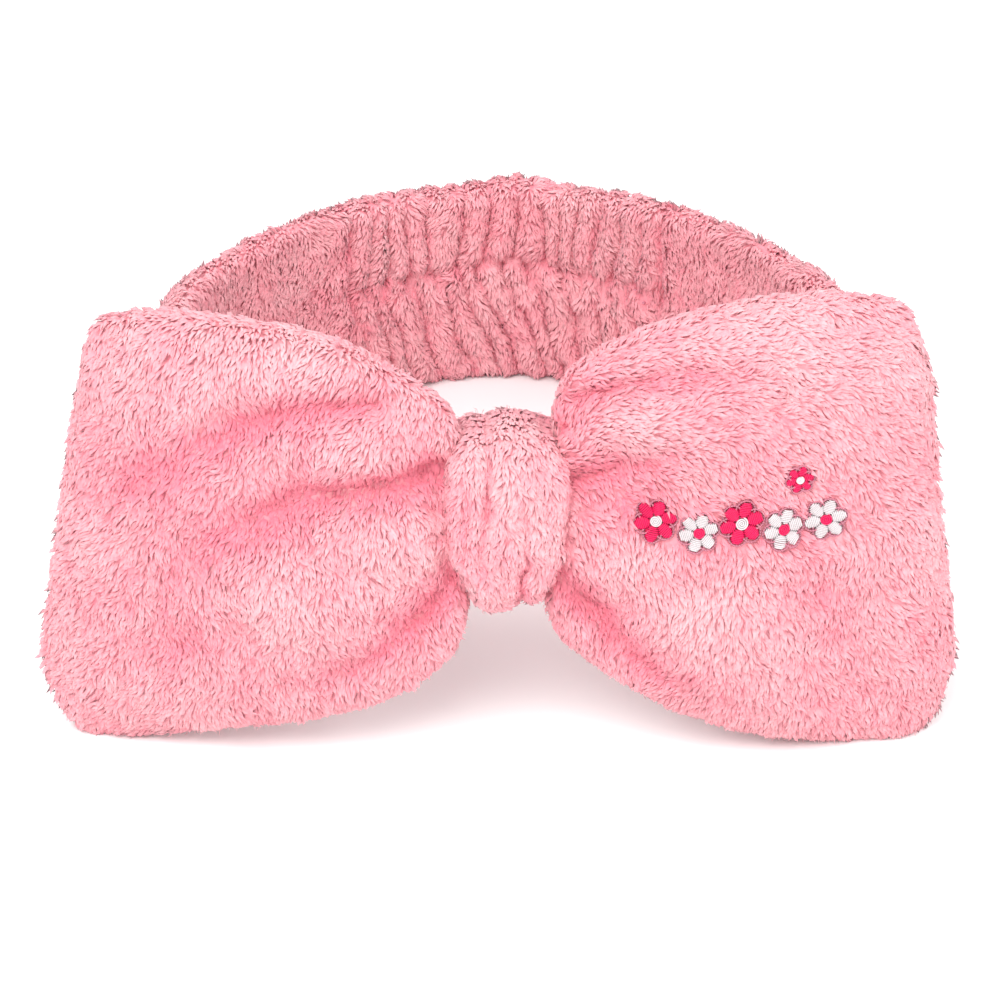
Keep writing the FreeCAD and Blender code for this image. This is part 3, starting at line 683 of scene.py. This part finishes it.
def thread_material(name, dark, light, scale=900.0, rough=0.42, sheen=0.3):
    """Twisted thread: bands of twist across it, a soft gloss and slight colour drift."""
    m, nt, bsdf = principled(name)
    tc = nt.nodes.new("ShaderNodeTexCoord")
    wave = nt.nodes.new("ShaderNodeTexWave")
    wave.wave_type = "BANDS"
    wave.bands_direction = "DIAGONAL"
    wave.inputs["Scale"].default_value = scale
    wave.inputs["Distortion"].default_value = 2.5
    wave.inputs["Detail"].default_value = 2.0
    nt.links.new(tc.outputs["Object"], wave.inputs["Vector"])
    noise = nt.nodes.new("ShaderNodeTexNoise")
    noise.inputs["Scale"].default_value = 260.0
    nt.links.new(tc.outputs["Object"], noise.inputs["Vector"])
    a = ramp(nt, [(0.0, dark), (1.0, light)], wave.outputs[1])
    b = ramp(nt, [(0.3, (0.90, 0.88, 0.88)), (0.7, (1.0, 1.0, 1.0))], noise.outputs[0])
    nt.links.new(mix_rgb(nt, "MULTIPLY", 1.0, a, b), bsdf.inputs["Base Color"])
    bsdf.inputs["Roughness"].default_value = rough
    bsdf.inputs["Sheen Weight"].default_value = sheen
    bsdf.inputs["Sheen Roughness"].default_value = 0.4
    bump = nt.nodes.new("ShaderNodeBump")
    bump.inputs["Strength"].default_value = 0.3
    bump.inputs["Distance"].default_value = 0.0001
    nt.links.new(wave.outputs[1], bump.inputs["Height"])
    nt.links.new(bump.outputs[0], bsdf.inputs["Normal"])
    return m


M_SEW = thread_material("sewing_thread", (0.62, 0.20, 0.28), (0.80, 0.36, 0.44))
M_PINK = thread_material("hot_pink_thread", (0.66, 0.0, 0.07), (0.86, 0.0, 0.125), 1400.0, 0.5, 0.05)
M_WHITE = thread_material("white_thread", (0.60, 0.55, 0.565), (0.78, 0.74, 0.75), 1400.0, 0.5, 0.05)
M_OUT = thread_material("outline_thread", (0.42, 0.11, 0.17), (0.66, 0.26, 0.33), 1400.0, 0.5, 0.1)
M_ELASTIC = thread_material("woven_elastic", (0.62, 0.60, 0.60), (0.86, 0.85, 0.84), 350.0, 0.7, 0.1)
M_STAB = thread_material("stabiliser_sheet", (0.74, 0.73, 0.72), (0.88, 0.87, 0.86), 120.0, 0.9, 0.1)

# ------------------------------------------------------------------ which way the pile lies
PILE_LEFT = np.array([
    (-18, 14, 0.15, -1), (-24, 27, -0.35, -1), (-33, 41, -0.3, -1), (-58, 46, -0.1, -1), (-85, 46, -0.35, -1),
    (-45, 22, -0.1, -1), (-66, 20, -0.2, -1), (-88, 20, -0.75, -1), (-99, -5, -1, -0.9), (-40, -2, 0.05, -1),
    (-62, -20, 0.0, -1), (-24, -16, 0.45, -1), (-30, -34, 0.3, -1), (-55, -46, 0.05, -1), (-80, -38, -0.2, -1),
    (-82, -52, -0.25, -1), (-100, -40, -1, -0.7), (-98, -54, -0.8, -1), (-84, 0, -0.35, -1)], float)
PILE_RIGHT = np.array([
    (17, 24, 1, 0.5), (24, 38, 1, 0.45), (36, 45, 1, 0.3), (52, 49, 1, 0.05), (74, 50, 1, -0.4), (90, 42, 1, -0.7),
    (32, 28, 1, 0.05), (50, 32, 1, -0.15), (70, 32, 1, -0.5), (20, 8, 0.7, -0.7), (36, 14, 0.8, -0.6), (56, 18, 0.7, -0.8),
    (76, 16, 0.7, -0.9), (92, 18, 0.8, -0.8), (30, -6, 0.1, -1), (50, -14, 0.05, -1), (72, -14, 0.15, -1), (92, -14, 0.5, -1),
    (26, -26, -0.45, -1), (38, -38, -0.3, -1), (60, -44, -0.05, -1), (84, -44, 0.2, -1), (100, -40, 0.8, -1), (94, -54, 0.5, -1)], float)


def field(table, x, z, soft=9.0):
    dx = x[:, None] - table[:, 0]
    dz = z[:, None] - table[:, 1]
    w = 1 / (dx ** 2 + dz ** 2 + soft ** 2) ** 2
    d = unit(table[:, 2:4])
    v = (w[..., None] * d).sum(1) / w.sum(1)[:, None]
    return unit(v)


def wing_pile(side, front):
    table = PILE_LEFT if side < 0 else PILE_RIGHT

    def direction(p, n, ex):
        v = field(table, p[:, 0], p[:, 2])
        if not front:
            v = unit(v * 0.35 + np.array([0.35 * side, -1.0]))
        d = np.zeros_like(p)
        d[:, 0], d[:, 2] = v[:, 0], v[:, 1]
        # the pile leans off the fabric at the edges rather than folding round them
        return d

    return direction


def band_pile(outer):
    def direction(p, n, ex):
        t = plan_frame(ex["a"])[1]
        sgn = np.sign(ex["a"])[:, None]
        d = np.zeros_like(p)
        lean = (0.55 if outer else 0.35) * (1 - smooth(0.5 - np.abs(ex["a"]), 0, 0.4))[:, None]
        d[:, :2] = t * sgn * lean
        up = 1.0 if outer else -1.0
        # the sleeve is one piece of fabric rolled into a tube: the pile runs up the outside, over the rim and down the inside
        d[:, 2] = up
        d = d + 0.25 * np.stack([W_D1(p), W_D1(p + 31), 0 * p[:, 0]], -1)
        return d

    return direction


def knot_pile(p, n, ex):
    d = np.zeros_like(p)
    d[:, 2] = -1
    d[:, 0] = 0.12 * np.sign(p[:, 0]) * smooth(np.abs(p[:, 0]), 4, 12)
    # over the top the pile falls to the front, underneath it runs to the back
    top = smooth(p[:, 2], 18, 24)
    d[:, 1] = -top
    return d


# ------------------------------------------------------------------ embroidery layout
FLOWERS = [(33.4, 5.0, 2.9, 1.75, 1), (43.0, 2.8, 2.8, 1.7, 0), (52.6, 4.6, 3.1, 1.85, 1),
           (62.2, 2.6, 2.8, 1.7, 0), (71.8, 4.2, 2.9, 1.75, 0), (65.6, 13.8, 1.9, 1.15, 1)]
PETALS = 6


def motif_distance(x, z):
    """Distance to the nearest flower's outline, below 0 inside it."""
    best = np.full(np.shape(x), 1e9)
    for fx, fz, ring, rad, _ in FLOWERS:
        for i in range(PETALS):
            a = (i + 0.25) * 2 * math.pi / PETALS
            best = np.minimum(best, np.hypot(x - fx - ring * math.cos(a), z - fz - ring * math.sin(a)) - rad)
        best = np.minimum(best, np.hypot(x - fx, z - fz) - ring * 0.8)
    return best


def keep_off_motif(p, n, ex, d, length):
    t = unit(d)
    root = motif_distance(p[:, 0], p[:, 2])
    tip = motif_distance(p[:, 0] + t[:, 0] * length * 0.85, p[:, 2] + t[:, 2] * length * 0.85)
    half = motif_distance(p[:, 0] + t[:, 0] * length * 0.45, p[:, 2] + t[:, 2] * length * 0.45)
    keep = root > 0.45
    scale = np.where(tip < 0.1, 0.7, 1.0)
    scale = np.where(half < 0.1, 0.45, scale)
    return keep, scale


# ------------------------------------------------------------------ the plush pieces
K, V = 150, 130
pieces_wing = {}
for side, word, table in ((-1, "left", LEFT_WING), (1, "right", RIGHT_WING)):
    for front in (True, False):
        P, ex = wing_grid(side, table, K, V, 0.0 if front else 1.0, 1.0 if front else 2.0)
        flip = (side > 0)
        N = normals(P, flip)
        pieces_wing[word, front] = (P, N, ex, side, flip)

# the outward side is known: the front faces look to -Y, the back faces to +Y
for (word, front), (P, N, ex, side, flip) in list(pieces_wing.items()):
    mid = N[80, 60, 1]
    want = -1 if front else 1
    if mid * want < 0:
        N = -N
        flip = not flip
    pieces_wing[word, front] = (P, N, ex, side, flip)


def inside_knot(p):
    """True for points that the knot's loop hides."""
    return (np.abs(p[:, 0]) < 9.5) & (p[:, 1] > -107) & (p[:, 1] < -83)


def wing_prune(motif):
    def prune(p, n, ex, d, length):
        ax = np.abs(p[:, 0])
        low = smooth(np.abs(p[:, 2] - 3), 8, 14)
        keep = ax > 10.0 - 6.5 * low
        scale = 0.45 + 0.55 * smooth(ax, 11 - 7 * low, 17 - 9 * low)
        if motif:
            k2, s2 = keep_off_motif(p, n, ex, d, length)
            keep &= k2
            scale = np.minimum(scale, s2)
        return keep, scale

    return prune


def edge_lift(p, n, ex):
    """The pile stands straighter round the edges."""
    q = np.where(ex["v"] <= 1, ex["v"], 2 - ex["v"])
    rim = np.maximum(1 - smooth(np.minimum(q, 1 - q), 0.0, 0.10), smooth(ex["k"], 7.4, 8.1))
    return 0.27 + 0.12 * rim


seed = 300
for (word, front), (P, N, ex, side, flip) in pieces_wing.items():
    seed += 1
    ob = fleece_piece(f"plush_{'front' if front else 'back'}_{word}", P, N, ex, 1.54 if front else 1.5, seed,
                      wing_pile(side, front), PINK, flip=flip, prune=wing_prune(front and side > 0),
                      lift_fn=edge_lift, length=2.9)
    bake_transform(ob)
    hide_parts(f"bow_{'front' if front else 'back'}_panel_{word}")

# ------------------------------------------------------------------ sleeve of the band
A_SEAM = SEAM
FAR = math.pi
NB = 220


def band_piece(word, outer, a0, a1, na, density, seed, body):
    P, ex = band_grid(na, 64, a0, a1, 0.0 if outer else 0.5, 0.5 if outer else 1.0)
    flip = False
    N = normals(P, flip)
    p, t, n = plan_frame(ex["a"][na // 2, 32])
    want = -1 if outer else 1
    if (N[na // 2, 32, 0] * n[0] + N[na // 2, 32, 1] * n[1]) * want < 0:
        N, flip = -N, True

    def prune(p, n, ex, d, length):
        dk = (math.pi - np.abs(ex["a"]))
        keep = dk > 0.07
        scale = 0.30 + 0.70 * smooth(dk, 0.09, 0.42)
        # a bow panel presses the pile flat where it lies against the band
        return keep, scale

    def lift_fn(p, n, ex):
        q = ex["v"] * 2 % 1.0
        rim = 1 - smooth(np.minimum(q, 1 - q), 0.0, 0.14)
        return 0.30 + 0.10 * rim

    ob = fleece_piece(f"sleeve_{word}_{'outer' if outer else 'inner'}", P, N, ex, density, seed, band_pile(outer), PINK,
                      flip=flip, prune=prune, lift_fn=lift_fn, length=3.0)
    return ob, P, N, ex


band = {}
for outer in (True, False):
    for word, a0, a1, na in (("left", -FAR, -A_SEAM, NB), ("right", A_SEAM, FAR, NB)):
        seed += 1
        ob, P, N, ex = band_piece(word, outer, a0, a1, na, 1.22, seed, None)
        sgn = -1 if word == "left" else 1
        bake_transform(ob)
        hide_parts("band_front_sleeve")
        band[word, outer] = (P, N, ex)
    seed += 1
    ob, P, N, ex = band_piece("rear", outer, -A_SEAM, A_SEAM, 200, 1.8, seed, None)
    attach(ob, "band_rear")
    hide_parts("band_rear_sleeve")
    band["rear", outer] = (P, N, ex)

# ------------------------------------------------------------------ knot
P, ex = knot_grid(150, 60)
N = normals(P, False)
flip = False
if N[0, 30, 1] > 0:
    N, flip = -N, True


def knot_prune(p, n, ex, d, length):
    scale = np.where(p[:, 1] > -80, 0.6, 1.0)
    return np.ones(len(p), bool), scale


def knot_lift(p, n, ex):
    e = np.minimum(ex["v"], 1 - ex["v"])
    return 0.28 + 0.1 * (1 - smooth(e, 0.0, 0.15))


ob = fleece_piece("plush_knot", P, N, ex, 2.1, 401, knot_pile, PINK, flip=flip, prune=knot_prune, lift_fn=knot_lift, length=2.9)
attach(ob, "band_front")
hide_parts("knot_wrap")

# pinched middle of the bow, inside the knot
u = np.linspace(0, 2 * math.pi, 96)[:, None] * np.ones((1, 14))
xx = np.linspace(-7.5, 7.5, 14)[None, :] * np.ones((96, 1))
pin = 1 - 0.10 * np.cos(u * 11)
cu, su = np.cos(u), np.sin(u)
CP = np.stack([xx, -95 - 5.4 * pin * np.sign(su) * np.abs(su) ** 0.6, 2.0 + 15.0 * pin * np.sign(cu) * np.abs(cu) ** 0.6], -1)
CN = normals(CP, False)
flip = (CN[24, 7, 1] > 0)
if flip:
    CN = -CN
sp, sq = shell(CP, CN, 0.8, 1)
ob = build_piece("bow_core_gathers", sp, face_flip(sq, flip), np.zeros((0, 3), int), np.full(len(sp), 0.4), np.full(len(sp), 0.25), PINK)
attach(ob, "band_front")
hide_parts("bow_pinched_core")


# ------------------------------------------------------------------ threads
def tube_mesh(name, lines, radius, material, sides=6, taper=True, twist=0.0):
    """Closed round tubes along polylines given in the band's frame, in mm."""
    V_, Q_, T_ = [], [], []
    o = 0
    for L in lines:
        L = np.asarray(L, float)
        m = len(L)
        t = unit(np.gradient(L, axis=0))
        e = np.zeros_like(t)
        g = np.cross(t[0], np.array([0.0, 1.0, 0.0]) if abs(t[0, 1]) < 0.8 else np.array([1.0, 0.0, 0.0]))
        for q in range(m):
            g = g - t[q] * (g @ t[q])
            g = g / max(np.linalg.norm(g), 1e-9)
            e[q] = g
        f = np.cross(t, e)
        rr = np.full(m, radius)
        if taper:
            rr[0] *= 0.55
            rr[-1] *= 0.55
        ang = np.arange(sides) * 2 * math.pi / sides
        ringp = L[:, None] + rr[:, None, None] * (e[:, None] * np.cos(ang)[None, :, None] + f[:, None] * np.sin(ang)[None, :, None])
        V_.append(ringp.reshape(-1, 3))
        V_.append(L[[0]] - t[[0]] * radius * 0.3)
        V_.append(L[[-1]] + t[[-1]] * radius * 0.3)
        i = np.arange(m - 1)[:, None] * sides
        j = np.arange(sides)[None, :]
        jn = (j + 1) % sides
        q = np.stack([i + j, i + sides + j, i + sides + jn, i + jn], -1).reshape(-1, 4) + o
        Q_.append(q)
        c0, c1 = o + m * sides, o + m * sides + 1
        j = np.arange(sides)
        jn = (j + 1) % sides
        T_.append(np.stack([np.full(sides, c0), o + j, o + jn], 1))
        T_.append(np.stack([np.full(sides, c1), o + (m - 1) * sides + jn, o + (m - 1) * sides + j], 1))
        o += m * sides + 2
    pts = np.concatenate(V_)
    quads, tris = np.concatenate(Q_), np.concatenate(T_)
    me = bpy.data.meshes.new(name)
    P = row(pts)
    P[:, 2] = np.maximum(P[:, 2], 0.0001)
    me.vertices.add(len(P))
    me.vertices.foreach_set("co", P.astype(np.float32).ravel())
    loops = np.concatenate([quads.ravel(), tris.ravel()]).astype(np.int32)
    me.loops.add(len(loops))
    me.loops.foreach_set("vertex_index", loops)
    me.polygons.add(len(quads) + len(tris))
    start = np.concatenate([np.arange(len(quads)) * 4, len(quads) * 4 + np.arange(len(tris)) * 3]).astype(np.int32)
    me.polygons.foreach_set("loop_start", start)
    me.polygons.foreach_set("use_smooth", np.ones(len(quads) + len(tris), bool))
    me.update(calc_edges=True)
    me.materials.append(material)
    ob = bpy.data.objects.new(name, me)
    bpy.context.scene.collection.objects.link(ob)
    return ob


def run_stitches(path, nrm, pitch, dip=0.5, gap=0.35, steps=5, lift=0.15, radius=0.3):
    """Short stitches along a path: each comes up, runs on top and goes down again."""
    path = np.asarray(path, float)
    nrm = np.asarray(nrm, float)
    s = np.concatenate([[0], np.cumsum(np.linalg.norm(np.diff(path, axis=0), axis=1))])
    n = max(2, int(s[-1] / pitch))
    edges = np.linspace(0, s[-1], n + 1)
    out = []
    for a, b in zip(edges[:-1], edges[1:]):
        g = gap / 2 * (b - a)
        ss = np.linspace(a + g, b - g, steps)
        f = np.sin(np.linspace(0, math.pi, steps)) ** 0.6
        p = np.stack([np.interp(ss, s, path[:, i]) for i in range(3)], -1)
        m = unit(np.stack([np.interp(ss, s, nrm[:, i]) for i in range(3)], -1))
        out.append(p + m * (lift - dip * (1 - f))[:, None])
    return out


# edge seams of the bow: the two panels' edges meet here, down in the pile
for word, side in (("left", -1), ("right", 1)):
    P, N, ex, _, _ = pieces_wing[word, True]
    top = P[9:-2, 0]
    low = P[9:-2, -1]
    tip = P[-2, :]
    path = np.concatenate([top, tip[1:-1], low[::-1]])
    nn = np.concatenate([N[9:-2, 0], N[-2, 1:-1], N[9:-2, -1][::-1]])
    mid = path.mean(0)
    nn = unit(nn * 0.0 + unit(path - mid))
    ob = tube_mesh(f"edge_stitches_{word}", run_stitches(path, nn, 3.0, lift=0.2), 0.32, M_SEW)
    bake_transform(ob)
    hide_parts(f"bow_edge_seam_{word}")


def band_path(word, outer, pick):
    P, N, ex = band[word, outer]
    return pick(P), pick(N)


# lengthwise seam of the sleeve, on the inner face
def seam_row(P, ex, level):
    """Grid line of the inner face that lies nearest a height for each angle."""
    zz = P[..., 2]
    j = np.abs(zz - level).argmin(1)
    return j


lines = []
for word in ("left", "right"):
    P, N, ex = band[word, False]
    j = seam_row(P, ex, 4.6)
    i = np.arange(len(P))
    keep = (math.pi - np.abs(ex["a"][:, 0])) > 0.30
    path, nn = P[i, j][keep], N[i, j][keep]
    path[:, 2] = 4.6
    lines += run_stitches(path, nn, 3.2)
ob = tube_mesh("front_sleeve_seam_stitches", lines, 0.3, M_SEW)
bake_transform(ob)
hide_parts("front_lengthwise_seam")
P, N, ex = band["rear", False]
crease = 4.0 + 3.5 * np.exp(-(ex["s"][:, 0] / 22) ** 2)
j = np.abs(P[..., 2] - crease[:, None]).argmin(1)
i = np.arange(len(P))
ob = tube_mesh("rear_sleeve_seam_stitches", run_stitches(P[i, j], N[i, j], 3.2), 0.3, M_SEW)
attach(ob, "band_rear")
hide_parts("rear_lengthwise_seam")

# join seams between the front and rear sleeves
for word, sgn in (("left", -1), ("right", 1)):
    Po, No, _ = band["rear", True]
    Pi, Ni, _ = band["rear", False]
    e = 0 if sgn < 0 else -1
    path = np.concatenate([Po[e], Pi[e][1:]])
    nn = np.concatenate([No[e], Ni[e][1:]])
    ob = tube_mesh(f"join_stitches_{word}", run_stitches(path, nn, 2.8, lift=0.25), 0.32, M_SEW)
    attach(ob, "band_rear")
    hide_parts(f"join_seam_{word}")

# ------------------------------------------------------------------ embroidered flowers
P, N, ex, _, _ = pieces_wing["right", True]
fx, fy, fz = P[..., 0].ravel(), P[..., 1].ravel(), P[..., 2].ravel()
near = (fx > 24) & (fx < 80) & (fz > -8) & (fz < 22)
FX, FY, FZ = fx[near], fy[near], fz[near]


def face_y(x, z, wide=1.6):
    x, z = np.atleast_1d(x), np.atleast_1d(z)
    out = np.zeros(len(x))
    for i in range(0, len(x), 400):
        d2 = (x[i:i + 400, None] - FX) ** 2 + (z[i:i + 400, None] - FZ) ** 2
        w = np.exp(-d2 / wide ** 2) + 1e-12
        out[i:i + 400] = (w * FY).sum(1) / w.sum(1)
    return out


def satin_line(x0, z0, x1, z1, dome, lift, n=7, lean=0.0):
    t = np.linspace(0, 1, n)
    x = x0 + (x1 - x0) * t
    z = z0 + (z1 - z0) * t
    bulge = dome * np.sqrt(np.maximum(1 - (2 * t - 1) ** 2, 0))
    y = face_y(x, z) - lift - bulge
    y[0] += 0.5
    y[-1] += 0.5
    return np.stack([x, y, z], -1)


r = np.random.default_rng(9)
pink_lines, white_lines, out_lines = [], [], []
THREAD = 0.40
for fxc, fzc, ring, rad, pink in FLOWERS:
    for i in range(PETALS):
        a = (i + 0.25) * 2 * math.pi / PETALS
        cx, cz = fxc + ring * math.cos(a), fzc + ring * math.sin(a)
        # satin stitches lie across the petal, each one a chord
        ca, sa = math.cos(a), math.sin(a)
        rows_ = np.arange(-rad + 0.12, rad - 0.10, THREAD)
        for o in rows_:
            half = math.sqrt(max(rad ** 2 - o ** 2, 0.05)) * 0.95
            j1, j2 = r.normal(0, 0.06, 2)
            p0 = (cx + ca * o - sa * (half + j1), cz + sa * o + ca * (half + j1))
            p1 = (cx + ca * (o + 0.12) + sa * (half + j2), cz + sa * (o + 0.12) - ca * (half + j2))
            (pink_lines if pink else white_lines).append(satin_line(*p0, *p1, 0.5 * rad / 1.75, 0.55))
        # outline round the petal's free side, in short slanted stitches
        th = np.linspace(a - 2.05, a + 2.05, 15)
        for b0, b1 in zip(th[:-1], th[1:]):
            ro = rad + 0.30
            q0 = (cx + ro * math.cos(b0), cz + ro * math.sin(b0))
            q1 = (cx + (ro + 0.10) * math.cos(b1 + 0.06), cz + (ro + 0.10) * math.sin(b1 + 0.06))
            if motif_distance(np.array([q0[0]]), np.array([q0[1]]))[0] < 0.08 and math.hypot(q0[0] - fxc, q0[1] - fzc) < ring:
                continue
            out_lines.append(satin_line(*q0, *q1, 0.25, 0.62, n=4))
    # the eye of the flower: a coil of the other colour
    turns = np.linspace(0, 2 * math.pi * 3.2, 60)
    rr = ring * 0.46 * turns / turns[-1]
    x, z = fxc + rr * np.cos(turns), fzc + rr * np.sin(turns)
    y = face_y(x, z) - 1.25
    (white_lines if pink else pink_lines).append(np.stack([x, y, z], -1))
for name, lines, mat, rad, slot_, node in (
        ("satin_pink_petals", pink_lines, M_PINK, 0.205, "pink_satin_thread", "embroidery_pink_flowers"),
        ("satin_white_petals", white_lines, M_WHITE, 0.205, "white_satin_thread", "embroidery_white_flowers"),
        ("outline_stitching", out_lines, M_OUT, 0.23, "outline_thread", "embroidery_outline")):
    ob = tube_mesh(name, lines, rad, mat)
    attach(ob, "right_wing")
    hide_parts(node)

# stabiliser behind the embroidery, against the inside of the face
ii = [i for i in range(P.shape[0]) if 26 < P[i, 60, 0] < 79]
jj = [j for j in range(P.shape[1]) if -7 < P[80, j, 2] < 18]
G = P[np.ix_(ii, jj)] - N[np.ix_(ii, jj)] * 1.15
sp, sq = shell(G, N[np.ix_(ii, jj)], 0.25, 2)
me = bpy.data.meshes.new("stabiliser_patch")
me.from_pydata([tuple(v) for v in row(sp)], [], [tuple(int(i) for i in q) for q in face_flip(sq, pieces_wing["right", True][4])])
me.update()
me.materials.append(M_STAB)
ob = bpy.data.objects.new("stabiliser_patch", me)
bpy.context.scene.collection.objects.link(ob)
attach(ob, "right_wing")
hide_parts("embroidery_backing")

# ------------------------------------------------------------------ nodes kept as drawn
for name, mat, slot_ in (("elastic_strap", M_ELASTIC, "woven_elastic"), ("elastic_stitches_left", M_SEW, "sewing_thread"),
                         ("elastic_stitches_right", M_SEW, "sewing_thread"), ("bow_gathering_thread", M_SEW, "sewing_thread"),
                         ("knot_closing_stitches", M_SEW, "sewing_thread")):
    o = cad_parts[name]
    o.data.materials.clear()
    o.data.materials.append(mat)

# ------------------------------------------------------------------ stage
def plain(name, colour, rough=0.9):
    m, nt, bsdf = principled(name)
    bsdf.inputs["Base Color"].default_value = (*colour, 1)
    bsdf.inputs["Roughness"].default_value = rough
    bsdf.inputs["Specular IOR Level"].default_value = 0.1
    return m


me = bpy.data.meshes.new("floor")
me.from_pydata([(-6, -6, 0), (6, -6, 0), (6, 6, 0), (-6, 6, 0)], [], [(0, 1, 2, 3)])
me.materials.append(plain("floor_paper", (0.97, 0.97, 0.97)))
floor = bpy.data.objects.new("floor", me)
bpy.context.scene.collection.objects.link(floor)

scene = bpy.context.scene
world = bpy.data.worlds.new("studio")
scene.world = world
world.use_nodes = True
bg = world.node_tree.nodes["Background"]
bg.inputs[0].default_value = (1.0, 1.0, 1.0, 1)
bg.inputs[1].default_value = 1.08


def area(name, place, aim, size, power, colour=(1, 1, 1)):
    L = bpy.data.lights.new(name, "AREA")
    L.shape = "RECTANGLE"
    L.size, L.size_y = size
    L.energy = power
    L.color = colour
    o = bpy.data.objects.new(name, L)
    scene.collection.objects.link(o)
    o.location = place
    o.rotation_mode = "QUATERNION"
    o.rotation_quaternion = (Vector(aim) - Vector(place)).to_track_quat("-Z", "Y")
    return o


area("key_soft", (-0.35, -0.75, 1.05), (0, -0.03, 0.03), (0.9, 0.7), 10.0, (1.0, 0.99, 0.98))
area("fill_soft", (0.85, -0.55, 0.55), (0, -0.03, 0.03), (0.8, 0.6), 3.0, (1.0, 0.98, 0.98))

cam_data = bpy.data.cameras.new("camera")
cam = bpy.data.objects.new("camera", cam_data)
scene.collection.objects.link(cam)
scene.camera = cam
cam_data.sensor_width = 36.0
cam_data.lens = 98.65
cam_data.shift_x = -0.006
cam_data.shift_y = 0.031
cam_data.clip_start, cam_data.clip_end = 0.05, 20
E22 = math.radians(22.0)
fwd = turn(np.array([0, math.cos(E22), -math.sin(E22)]))
upv = turn(np.array([0, math.sin(E22), math.cos(E22)]))
right = np.cross(fwd, upv)
Rm = Matrix(np.stack([right, upv, -fwd], 1).tolist())
cam.rotation_mode = "QUATERNION"
cam.rotation_quaternion = Rm.to_quaternion()
cam.location = row((0, -672.85, 232.26)).tolist()

scene.view_settings.view_transform = "Standard"
scene.view_settings.look = "None"
scene.view_settings.exposure = 0.0
